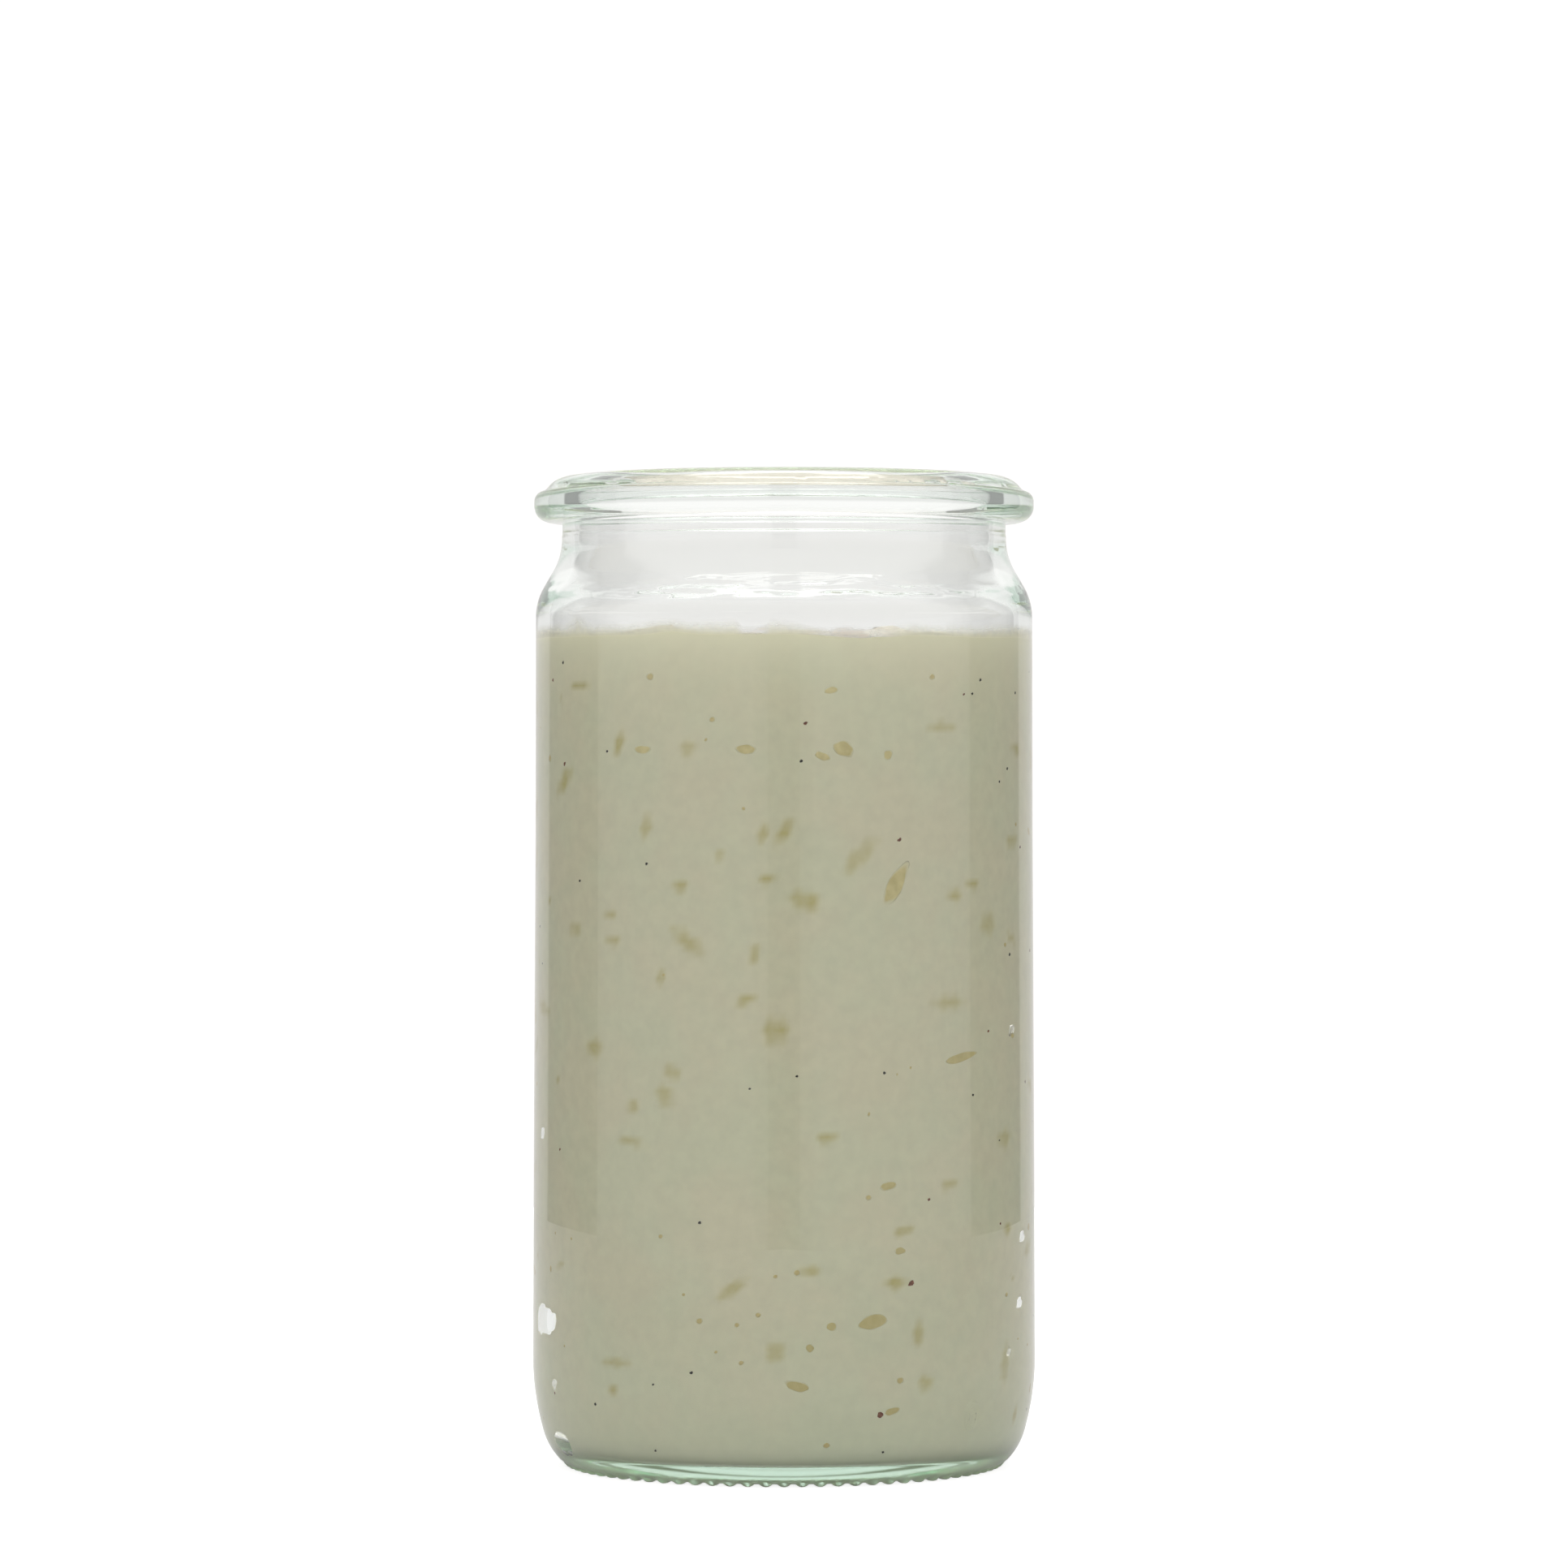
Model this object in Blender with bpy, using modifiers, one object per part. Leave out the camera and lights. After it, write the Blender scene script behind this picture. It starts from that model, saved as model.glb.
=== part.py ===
"""An open canning jar with a round flanged rim, filled with a creamy herb dressing.

The jar is a turned glass shell that stands on a ring of small bumps. The
dressing is one solid inside it, up to an uneven level below the shoulder.
Units are metres, +Z is up, and the origin is on the jar's axis at the base.
Run it with blender --background --python part.py, or from the text editor.
"""

import math

import bmesh
import bpy
from mathutils import Matrix, Vector

# Heights above the surface that the jar stands on
JAR_HEIGHT = 0.1300
BEVEL_BASE_HEIGHT = 0.1281
BEAD_BASE_HEIGHT = 0.1241
NECK_BASE_HEIGHT = 0.1197
SHOULDER_BASE_HEIGHT = 0.1137
BODY_MIDDLE_HEIGHT = 0.0840
HEEL_TOP_HEIGHT = 0.0098
HEEL_HEIGHT = 0.0027
BEARING_HEIGHT = 0.00035
PUSH_UP_EDGE_HEIGHT = 0.0013
PUSH_UP_HEIGHT = 0.0018

# Outer radii
LIP_RADIUS = 0.0299
BEVEL_BASE_RADIUS = 0.0316
BEAD_RADIUS = 0.0329
NECK_RADIUS = 0.0292
SHOULDER_RADIUS = 0.0327
BODY_MIDDLE_RADIUS = 0.03275
BODY_RADIUS = 0.0331
HEEL_RADIUS = 0.0312
FOOT_RADIUS = 0.0290
BEARING_INNER_RADIUS = 0.0255
PUSH_UP_EDGE_RADIUS = 0.0240

# The inside of the glass
MOUTH_RADIUS = 0.0272
CUP_RADIUS = 0.0305
CUP_TOP_HEIGHT = 0.1127
THROAT_HEIGHT = 0.1187
FLOOR_EDGE_HEIGHT = 0.0030
FLOOR_CENTRE_HEIGHT = 0.0052

# Fillets, from the floor up the inside, over the lip and down the outside
CUP_HEEL_FILLET = 0.0044
CUP_SHOULDER_FILLET = 0.0080
THROAT_FILLET = 0.0080
MOUTH_FILLET = 0.0012
LIP_FILLET = 0.0020
BEAD_TOP_FILLET = 0.0013
BEAD_BASE_FILLET = 0.0020
BEAD_ROOT_FILLET = 0.0004
NECK_FILLET = 0.0085
SHOULDER_FILLET = 0.0080
HEEL_TOP_FILLET = 0.0345
HEEL_FILLET = 0.0083
FOOT_FILLET = 0.0025
BEARING_FILLET = 0.0012
PUSH_UP_FILLET = 0.0015

# The bumps that the jar stands on
BUMP_COUNT = 76
BUMP_RING_RADIUS = 0.0280
BUMP_LENGTH = 0.0022
BUMP_WIDTH = 0.0014
BUMP_SIDES = 6
BUMP_TAPER = 0.62
BUMP_ROOT_HEIGHT = 0.0016

# The dressing
GAP = 0.0003
DRESSING_LEVEL = 0.1093
WAVE_HEIGHT = 0.00035
# Each low wave's share of the height, its turns along x and y in radians per metre, and its shift
WAVES = [(0.5, 310, 240, 0.9), (0.5, 310, -240, 1.7), (0.6, 390, 520, 0.0)]
PEAK_HEIGHT = 0.0012
PEAK_WIDTH = 0.0032
# Each peak's angle in degrees round the axis and its distance from the axis
PEAKS = [(-72, 0.0262), (-99, 0.0268), (-38, 0.0170), (28, 0.0235),
         (95, 0.0205), (150, 0.0250), (205, 0.0140), (232, 0.0265)]

GLASS_COLOUR = (0.86, 0.93, 0.88)
GLASS_ROUGHNESS = 0.03
DRESSING_COLOUR = (0.50, 0.49, 0.35)
DRESSING_ROUGHNESS = 0.35

GLASS_SEGMENTS = 76
DRESSING_SEGMENTS = 64
TOP_RINGS = 9
MERGE_DISTANCE = 0.00001


def clear_scene():
    for item in list(bpy.data.objects):
        bpy.data.objects.remove(item, do_unlink=True)


def new_collection(name):
    collection = bpy.data.collections.new(name)
    bpy.context.scene.collection.children.link(collection)
    return collection


def new_material(name, colour, roughness, transmission=0.0):
    material = bpy.data.materials.new(name)
    material.use_nodes = True
    shader = material.node_tree.nodes["Principled BSDF"]
    shader.inputs["Base Color"].default_value = (*colour, 1.0)
    shader.inputs["Roughness"].default_value = roughness
    shader.inputs["Transmission Weight"].default_value = transmission
    return material


def rounded_corner(before, corner, after, fillet, steps):
    """The points of an arc that rounds the corner between two straight runs."""
    back = (before - corner).normalized()
    ahead = (after - corner).normalized()
    half_angle = back.angle(ahead) / 2
    centre = corner + (back + ahead).normalized() * fillet / math.sin(half_angle)
    start = corner + back * fillet / math.tan(half_angle) - centre
    end = corner + ahead * fillet / math.tan(half_angle) - centre
    sweep = start.angle_signed(end)
    return [centre + Matrix.Rotation(-sweep * i / steps, 2) @ start for i in range(steps + 1)]


def rounded_path(corners):
    """Turn (radius, height, fillet, steps) corners into a list of points."""
    spots = [Vector(corner[:2]) for corner in corners]
    path = [spots[0]]
    for i in range(1, len(corners) - 1):
        fillet, steps = corners[i][2:]
        if fillet:
            path += rounded_corner(spots[i - 1], spots[i], spots[i + 1], fillet, steps)
        else:
            path.append(spots[i])
    path.append(spots[-1])
    return path


def turned_object(name, path, segments, collection):
    """A closed profile turned round the Z axis; it runs down its outer side."""
    points = [(point.x, 0.0, point.y) for point in path]
    edges = [(i, i + 1) for i in range(len(points) - 1)]
    mesh = bpy.data.meshes.new(name)
    mesh.from_pydata(points, edges, [])
    turned = bpy.data.objects.new(name, mesh)
    collection.objects.link(turned)
    screw = turned.modifiers.new("turn", "SCREW")
    screw.axis = "Z"
    screw.angle = math.tau
    screw.steps = segments
    screw.render_steps = segments
    screw.use_merge_vertices = True
    screw.merge_threshold = MERGE_DISTANCE
    screw.use_smooth_shade = True
    return turned


def glass_profile():
    """Up the inside from the centre of the floor, over the lip, and down the outside."""
    inside = [
        (0.0, FLOOR_CENTRE_HEIGHT, 0.0, 0),
        (CUP_RADIUS, FLOOR_EDGE_HEIGHT, CUP_HEEL_FILLET, 5),
        (CUP_RADIUS, CUP_TOP_HEIGHT, CUP_SHOULDER_FILLET, 3),
        (MOUTH_RADIUS, THROAT_HEIGHT, THROAT_FILLET, 3),
        (MOUTH_RADIUS, JAR_HEIGHT, MOUTH_FILLET, 3),
    ]
    rim = [
        (LIP_RADIUS, JAR_HEIGHT, LIP_FILLET, 2),
        (BEVEL_BASE_RADIUS, BEVEL_BASE_HEIGHT, 0.0, 0),
        (BEAD_RADIUS, BEVEL_BASE_HEIGHT, BEAD_TOP_FILLET, 3),
        (BEAD_RADIUS, BEAD_BASE_HEIGHT, BEAD_BASE_FILLET, 3),
        (NECK_RADIUS, BEAD_BASE_HEIGHT, BEAD_ROOT_FILLET, 1),
    ]
    outside = [
        (NECK_RADIUS, NECK_BASE_HEIGHT, NECK_FILLET, 3),
        (SHOULDER_RADIUS, SHOULDER_BASE_HEIGHT, SHOULDER_FILLET, 3),
        (BODY_MIDDLE_RADIUS, BODY_MIDDLE_HEIGHT, 0.0, 0),
        (BODY_RADIUS, HEEL_TOP_HEIGHT, HEEL_TOP_FILLET, 3),
        (HEEL_RADIUS, HEEL_HEIGHT, HEEL_FILLET, 4),
        (FOOT_RADIUS, BEARING_HEIGHT, FOOT_FILLET, 3),
        (BEARING_INNER_RADIUS, BEARING_HEIGHT, BEARING_FILLET, 1),
        (PUSH_UP_EDGE_RADIUS, PUSH_UP_EDGE_HEIGHT, PUSH_UP_FILLET, 1),
        (0.0, PUSH_UP_HEIGHT, 0.0, 0),
    ]
    return rounded_path(inside + rim + outside)


def make_base_bumps(collection):
    """Tapered oval bumps in a ring, with flat feet at the height of zero."""
    ovals = bmesh.new()
    stretch = Matrix.Diagonal((BUMP_LENGTH / BUMP_WIDTH, 1.0, 1.0, 1.0))
    place = Matrix.Translation((BUMP_RING_RADIUS, 0.0, BUMP_ROOT_HEIGHT / 2))
    for bump in range(BUMP_COUNT):
        turn = Matrix.Rotation(math.tau * bump / BUMP_COUNT - math.pi / 2, 4, "Z")
        bmesh.ops.create_cone(
            ovals,
            cap_ends=True,
            segments=BUMP_SIDES,
            radius1=BUMP_WIDTH / 2 * BUMP_TAPER,
            radius2=BUMP_WIDTH / 2,
            depth=BUMP_ROOT_HEIGHT,
            matrix=turn @ place @ stretch,
        )
    mesh = bpy.data.meshes.new("base_bumps")
    ovals.to_mesh(mesh)
    ovals.free()
    bumps = bpy.data.objects.new("base_bumps", mesh)
    bumps.hide_render = True
    bumps.display_type = "WIRE"
    collection.objects.link(bumps)
    return bumps


def make_glass(collection, cutters):
    glass = turned_object("jar_glass", glass_profile(), GLASS_SEGMENTS, collection)
    glass.data.materials.append(new_material("jar_glass", GLASS_COLOUR, GLASS_ROUGHNESS, 1.0))
    union = glass.modifiers.new("base_bumps", "BOOLEAN")
    union.operation = "UNION"
    union.solver = "EXACT"
    union.object = make_base_bumps(cutters)
    return glass


def dressing_height(x, y):
    """The level at a place: long low waves, with a few soft peaks left by pouring."""
    waves = sum(share * math.sin(turn_x * x + turn_y * y + shift) for share, turn_x, turn_y, shift in WAVES)
    height = DRESSING_LEVEL + WAVE_HEIGHT * waves
    for angle, distance in PEAKS:
        turn = math.radians(angle)
        away = math.hypot(x - distance * math.cos(turn), y - distance * math.sin(turn))
        height += PEAK_HEIGHT * math.exp(-(away / PEAK_WIDTH) ** 2)
    return height


def make_dressing(collection):
    edge_radius = CUP_RADIUS - GAP
    top = [(edge_radius * ring / TOP_RINGS, DRESSING_LEVEL, 0.0, 0) for ring in range(TOP_RINGS)]
    side = [
        (edge_radius, DRESSING_LEVEL, 0.0, 0),
        (edge_radius, FLOOR_EDGE_HEIGHT + GAP, CUP_HEEL_FILLET - GAP, 6),
        (0.0, FLOOR_CENTRE_HEIGHT + GAP, 0.0, 0),
    ]
    turned = turned_object("turned_dressing", rounded_path(top + side), DRESSING_SEGMENTS, collection)
    evaluated = turned.evaluated_get(bpy.context.evaluated_depsgraph_get())
    mesh = bpy.data.meshes.new_from_object(evaluated)
    bpy.data.objects.remove(turned, do_unlink=True)
    for vertex in mesh.vertices:
        if vertex.co.z > DRESSING_LEVEL - MERGE_DISTANCE:
            vertex.co.z = dressing_height(vertex.co.x, vertex.co.y)
    dressing = bpy.data.objects.new("dressing", mesh)
    dressing.data.materials.append(new_material("dressing", DRESSING_COLOUR, DRESSING_ROUGHNESS))
    collection.objects.link(dressing)
    return dressing


def main():
    clear_scene()
    parts = new_collection("canning_jar")
    cutters = new_collection("cutters")
    make_glass(parts, cutters)
    make_dressing(parts)


main()
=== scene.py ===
"""Looks of the open canning jar: pale green glass, a creamy dressing with bits in it, and a studio.

Azimuths are in degrees round the jar's axis, 0 at the camera's side and positive to its right.
"""

import math
import random

import bmesh
import bpy
import numpy as np
from mathutils import Matrix, Vector, noise


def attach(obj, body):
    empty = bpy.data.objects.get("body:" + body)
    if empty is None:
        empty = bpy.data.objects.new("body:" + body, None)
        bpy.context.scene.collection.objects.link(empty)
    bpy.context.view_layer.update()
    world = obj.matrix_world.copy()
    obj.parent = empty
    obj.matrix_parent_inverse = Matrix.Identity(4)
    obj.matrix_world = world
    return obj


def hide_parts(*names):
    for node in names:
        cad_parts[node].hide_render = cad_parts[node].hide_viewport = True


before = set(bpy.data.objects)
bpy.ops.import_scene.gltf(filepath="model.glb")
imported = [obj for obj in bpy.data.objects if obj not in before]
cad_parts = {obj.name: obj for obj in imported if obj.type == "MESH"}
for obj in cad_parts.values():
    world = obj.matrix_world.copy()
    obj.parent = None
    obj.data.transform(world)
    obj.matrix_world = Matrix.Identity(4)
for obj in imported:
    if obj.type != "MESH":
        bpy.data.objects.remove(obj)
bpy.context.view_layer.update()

MM = 0.001

# ---------------------------------------------------------------- driving sizes of the jar
JAR_HEIGHT = 130.0 * MM
BEVEL_BASE_HEIGHT = 128.1 * MM
BEAD_BASE_HEIGHT = 124.1 * MM
NECK_BASE_HEIGHT = 119.7 * MM
SHOULDER_BASE_HEIGHT = 113.7 * MM
BODY_MIDDLE_HEIGHT = 84.0 * MM
HEEL_TOP_HEIGHT = 9.8 * MM
HEEL_HEIGHT = 2.7 * MM
BEARING_HEIGHT = 0.35 * MM
PUSH_UP_EDGE_HEIGHT = 1.3 * MM
PUSH_UP_HEIGHT = 1.8 * MM

LIP_RADIUS = 29.9 * MM
BEVEL_BASE_RADIUS = 31.6 * MM
BEAD_RADIUS = 32.9 * MM
NECK_RADIUS = 29.2 * MM
SHOULDER_RADIUS = 32.7 * MM
BODY_MIDDLE_RADIUS = 32.75 * MM
BODY_RADIUS = 33.1 * MM
HEEL_RADIUS = 31.2 * MM
FOOT_RADIUS = 29.0 * MM
BEARING_INNER_RADIUS = 25.5 * MM
PUSH_UP_EDGE_RADIUS = 24.0 * MM

# The inside, which turns more sharply at the heel and the shoulder than the plain solid does
MOUTH_RADIUS = 27.2 * MM
CUP_RADIUS = 30.5 * MM
CUP_TOP_HEIGHT = 112.5 * MM
THROAT_HEIGHT = 117.8 * MM
FLOOR_EDGE_HEIGHT = 3.0 * MM
FLOOR_CENTRE_HEIGHT = 5.2 * MM

# Fillets
CUP_HEEL_FILLET = 2.6 * MM
CUP_SHOULDER_FILLET = 4.0 * MM
THROAT_FILLET = 8.0 * MM
LIP_FILLET = 3.6 * MM
BEAD_TOP_FILLET = 1.3 * MM
BEAD_BASE_FILLET = 2.0 * MM
BEAD_ROOT_FILLET = 0.4 * MM
NECK_FILLET = 8.5 * MM
SHOULDER_FILLET = 8.0 * MM
HEEL_TOP_FILLET = 34.5 * MM
HEEL_FILLET = 8.3 * MM
FOOT_FILLET = 2.5 * MM
BEARING_FILLET = 1.2 * MM
PUSH_UP_FILLET = 1.5 * MM

# The ring of bumps that the jar stands on
BUMP_COUNT = 76
BUMP_RING_RADIUS = 28.0 * MM
BUMP_LENGTH = 2.2 * MM
BUMP_WIDTH = 1.45 * MM
BUMPS_END_HEIGHT = 1.6 * MM

# The dressing's level. A wave is its share, its radians in a metre along x and along y, and a shift;
# a peak is its angle from the x axis in degrees, and its distance from the jar's axis in mm
DRESSING_LEVEL = 109.3 * MM
WAVE_HEIGHT = 0.35 * MM
WAVES = [(0.5, 310, 240, 0.9), (0.5, 310, -240, 1.7), (0.6, 390, 520, 0.0)]
PEAK_HEIGHT = 1.2 * MM
PEAK_WIDTH = 3.2 * MM
PEAKS = [(-38, 17.0), (28, 23.5), (95, 20.5), (150, 24.0), (205, 14.0), (232, 24.0)]

# Where the level meets the wall: azimuth, half width in degrees and height in mm of a hump and a dip,
# and how far below the level they still move the rows of the side
EDGE_HUMP = (-27.0, 5.0, 0.45)
EDGE_DIP = (17.0, 9.0, 0.55)
EDGE_REACH = 8 * MM

# ---------------------------------------------------------------- finer shapes, and how finely they are cut
NECK_SEAM_HEIGHT = 122.3 * MM
NECK_SEAM_STEP = 0.06 * MM
NECK_SEAM_WIDTH = 0.15 * MM

# How far the dressing reaches into the glass, and the thin smear on the glass a little less
INTO_WALL = 0.05 * MM
SMEAR_INTO_WALL = 0.02 * MM

# How finely outlines are cut: the steps of arcs, of straight runs, and at the bumps and the mark
ARC_STEP = 0.30 * MM
FINEST_TURN = math.radians(2.8)
RUN_STEP = 2.4 * MM
BUMP_ROW_STEP = 0.35 * MM
MARK_ROW_STEP = 0.8 * MM

# Columns and rings of the turned meshes
WALL_COLUMNS = BUMP_COUNT * 4
BASE_COLUMNS = BUMP_COUNT * 8
DRESSING_COLUMNS = 456
TOP_RINGS = 24

# Rows of the dressing's side: below this height, this step; short ones at the level. In the floor zone
# the rows also reach into the glass below them
DRESSING_ROW_STEPS = [(7 * MM, 0.4 * MM), (34 * MM, 0.5 * MM), (DRESSING_LEVEL - 4 * MM, 0.8 * MM)]
LEVEL_ROW_STEP = 0.25 * MM
SHORTEST_ROW_STEP = 0.24 * MM
FLOOR_ZONE = 7 * MM

# The unevenness of the wall fades out towards the middle of the floor
RIPPLE_START_RADIUS = 20 * MM
RIPPLE_FADE = 6 * MM

# The smear on the glass: how far it overlaps the dressing, and its rows below and above the edge
FILM_OVERLAP = 1.4 * MM
FILM_ROWS_BELOW = 4
FILM_ROWS_ABOVE = 7

# The lip's inner edge: a steep chamfer, rounded at both ends
MOUTH_CHAMFER_HEIGHT = 127.7 * MM
MOUTH_CHAMFER_FILLET = 1.5 * MM
LIP_INNER_RADIUS = 28.15 * MM
LIP_INNER_FILLET = 0.15 * MM
LIP_TOP_RADIUS = 28.27 * MM

# The wavy fold inside the shoulder, thicker at these azimuths
FOLD_HEIGHT = 114.2 * MM
FOLD_HALF_HEIGHT = 0.9 * MM
FOLD_AZIMUTHS = [-21.0, 22.0, 110.0, 190.0, 250.0]
FOLD_HALF_WIDTH = 13
FOLD_STEP = 0.14 * MM

# The oval mark near the foot: two rings, as far out as this share of its half size. The inner one is
# this many times narrower and shorter
MARK_AZIMUTH = 47.6
MARK_HEIGHT = 8.4 * MM
MARK_WIDTH = 3.1 * MM
MARK_LENGTH = 4.2 * MM
MARK_RISE = 0.30 * MM
MARK_RING = 0.86
MARK_OUTER_WIDTH = 0.09
MARK_INNER_WIDTH = 0.15
MARK_INNER_SHRINK = (2.1, 1.25)
MARK_CUTS = 8

# Froth at the wall: azimuth, half width in degrees, rise above the level
FROTHS = [
    (16.0, 14.0, 1.3 * MM),
    (-7.2, 4.5, 0.7 * MM),
    (118.0, 7.0, 1.0 * MM),
    (-140.0, 5.0, 1.2 * MM),
]

# The smear on the glass reaches highest here: azimuth, half width in degrees, height in mm
FILM_PEAK = (-57.0, 3.5, 1.2)

# Air pockets between the dressing and the wall: azimuth, height, and the pocket's width and height, in mm
POCKETS = [(-75.0, 19.8, 7.4, 3.4), (71.4, 22.0, 1.9, 1.0), (73.6, 30.6, 1.8, 0.9), (-68.0, 11.7, 1.2, 0.7),
           (-68.5, 4.4, 5.0, 2.4), (66.9, 57.6, 1.3, 0.7), (-76.5, 43.8, 1.6, 0.8), (65.1, 16.0, 1.0, 0.6),
           (121.0, 34.0, 6.0, 3.2), (171.0, 12.0, 4.0, 2.2), (-128.0, 25.0, 3.0, 2.0)]
POCKET_DEPTH = 0.6 * MM

# Bits of onion at the wall: azimuth, height, length and width in mm, tilt in degrees
CLEAR_BITS = [(14, 94.1, 2.9, 1.9, -20), (-9, 94.0, 2.4, 1.2, 0), (-35, 94.0, 2.4, 1.0, 0),
              (27, 76.8, 6.4, 2.1, 58), (46, 54.5, 5.4, 1.1, 12), (25, 38.4, 2.3, 1.0, 12),
              (21, 21.1, 3.8, 1.9, 15), (3, 13.2, 3.1, 1.3, -12), (25, 93.3, 1.3, 1.1, 60),
              (9, 93.1, 2.1, 1.0, -20), (28, 30.1, 1.5, 0.9, 0), (26, 9.8, 2.1, 0.9, 15),
              (11, 20.7, 1.3, 1.1, 0), (11, 101.5, 1.7, 0.9, 10), (6, 18.0, 1.0, 1.0, 0)]

# Scattered bits: mm between their middles, mm along the wall in a degree, their heights and lengths
BIT_SPACING = 6.0
MM_PER_DEGREE = 0.53
SCATTER_HEIGHTS = (6, 106)
SCATTER_LENGTHS = [1.0, 1.4, 2.2, 2.6, 3.2, 4.6]
TOP_SCATTER_RADIUS = 27

# Crumbs of onion at the wall: azimuth, height, size
CLEAR_CRUMBS = [(3, 27.6, 0.9), (-2, 27.1, 0.6), (-20, 21.3, 0.9), (-11, 20.9, 0.7), (-6, 22.2, 0.7),
                (20, 37.0, 0.8), (10, 5.7, 0.9), (-33, 103.3, 1.1), (37, 103.3, 0.9), (-30, 31.9, 0.7),
                (-10, 16.1, 0.7), (28, 13.6, 1.0), (-17, 97.8, 0.8), (-16, 17.4, 0.5), (-24, 24.6, 0.5)]

# Bits sunk a little deeper into the dressing, so that they only show as soft stains
SUNK_BITS = [(-50, 55.7, 2.9, 2.3, 0), (-29, 49.9, 2.8, 2.1, -45), (-27, 52.8, 2.3, 1.7, -45),
             (-38, 48.4, 1.8, 1.4, 0), (-38, 43.8, 4.2, 1.0, -8), (10, 44.6, 2.3, 1.4, 0),
             (42, 38.2, 2.5, 1.2, 15), (29, 32.6, 2.6, 1.3, 15), (-12, 25.5, 3.9, 1.5, 35),
             (-2, 17.5, 2.7, 2.1, 80), (-43, 15.5, 4.5, 1.2, 0), (-44, 11.9, 1.7, 1.2, 0),
             (35, 13.1, 2.1, 2.0, 60), (33, 19.5, 2.9, 1.7, 85), (6, 27.8, 2.7, 1.4, 0),
             (27, 26.0, 3.0, 1.7, 0), (-23, 69.5, 4.9, 1.9, -38), (-7, 68.0, 2.5, 1.2, 85),
             (-9, 62.1, 2.7, 1.3, 25), (5, 74.8, 3.9, 2.3, -20), (-5, 83.2, 2.4, 1.3, 70),
             (0, 83.5, 3.6, 1.5, 60), (18, 80.4, 5.4, 2.1, 45), (-34, 84.2, 2.9, 1.5, 80),
             (-15, 80.5, 1.3, 1.2, 0), (-4, 77.5, 2.1, 1.3, 0), (-23, 94.1, 2.2, 1.9, 0),
             (-42, 94.9, 3.2, 1.5, 65), (-58, 70.8, 2.7, 1.2, 0), (-44, 69.4, 2.3, 1.2, 0),
             (-45, 72.8, 2.1, 1.2, 0), (42, 61.6, 5.3, 1.4, 0), (44, 75.3, 2.6, 1.4, 0),
             (50, 76.6, 2.2, 1.2, 0), (40, 97.0, 4.0, 1.2, 0), (56, 71.4, 3.0, 2.7, 0),
             (-56, 102.3, 4.4, 0.8, 10), (-2, 58.3, 3.1, 3.1, 0), (-30, 64.9, 2.1, 1.3, 80),
             (-25, 76.5, 2.0, 1.7, 0)]

# Pepper at the wall: azimuth, height, size; then the same for grains of red pepper
BLACK_GRAINS = [(24, 52.8, 0.42), (-20, 33.8, 0.40), (-22, 14.7, 0.42), (-34, 79.4, 0.40), (-56, 77.1, 0.35),
                (-46, 93.8, 0.35), (-8, 50.9, 0.30), (3, 52.5, 0.36), (53, 103.0, 0.42), (50, 101.2, 0.40),
                (-32, 13.0, 0.30), (24, 4.6, 0.32), (-32, 4.6, 0.32), (4, 92.5, 0.42), (50, 49.6, 0.35),
                (-50, 10.0, 0.40), (65, 91.6, 0.42), (61, 89.9, 0.35)]
RED_GRAINS = [(23, 9.4, 0.95), (31, 25.9, 0.80), (28, 82.5, 0.55), (-63, 92.2, 0.60), (5, 97.3, 0.50),
              (36, 36.5, 0.42), (47, 101.1, 0.38), (56, 57.7, 0.42), (-65, 42.2, 0.42)]

# ---------------------------------------------------------------- camera and studio
CAMERA_DISTANCE = 835 * MM
CAMERA_HEIGHT = 89.6 * MM
FOCAL_PIXELS = 7804.0
FRAME_PIXELS = 1932.0
SENSOR_WIDTH = 36.0
TABLE_RADIUS = 0.51
TABLE_FADE_START = 0.25

# Light by direction: degrees from straight behind the jar, and brightness there
SIDE_LIGHT = [(0, 0.84), (39.8, 0.84), (41.3, 0.35), (84.5, 0.35), (85.5, 0.90), (105, 1.08)]
LOW_LIGHT = SIDE_LIGHT + [(166.2, 1.08), (166.8, 0.90), (172.2, 0.90), (172.8, 0.45), (180, 0.45)]
LEVEL_LIGHT = SIDE_LIGHT + [(180, 1.08)]
HIGH_LIGHT = [(0, 1.02), (38, 1.02), (44, 0.35), (84, 0.35), (90, 0.90), (105, 1.25), (180, 1.25)]
LAMP_LIGHT = [(0, 5.00), (60, 5.00), (70, 1.00), (98, 1.00), (104, 4.20), (163, 4.20), (168, 1.25),
              (180, 1.25)]
TOP_LIGHT = 1.00
BRIGHTEST = 5.0

# Above the low light: the elevations between which each band takes over from the one below it
LIGHT_BANDS = [(1.0, 1.8, LEVEL_LIGHT), (8, 14, HIGH_LIGHT), (64, 67, LAMP_LIGHT)]
TOP_LIGHT_ELEVATIONS = (78, 82)
LIGHT_COLOUR = (1.0, 0.984, 0.975)
BACKDROP_LIGHT = 1.06

# The table's own light and its greys, first as it lights the jar, then as the camera sees it
TABLE_GLOW = 0.15
TABLE_MIDDLE_GREY = 0.58
TABLE_EDGE_GREY = 0.50
TABLE_FRONT_GREY = 0.78
SEEN_TABLE_GLOW = 0.85
SEEN_TABLE_GREY = 0.35

# ---------------------------------------------------------------- colours: red, green and blue, from 0 to 1
GLASS_IOR = 1.52
GLASS_TINT = (0.0, 0.52, 0.22)
GLASS_TINT_DENSITY = 9.0
# The dressing's index of refraction against the glass's. It is in effect the same all over: the shader's
# socket takes no plain value below 1, so a faint noise carries it, and the export drops it
DRESSING_IOR_IN_GLASS = (0.885, 0.895)

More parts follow.
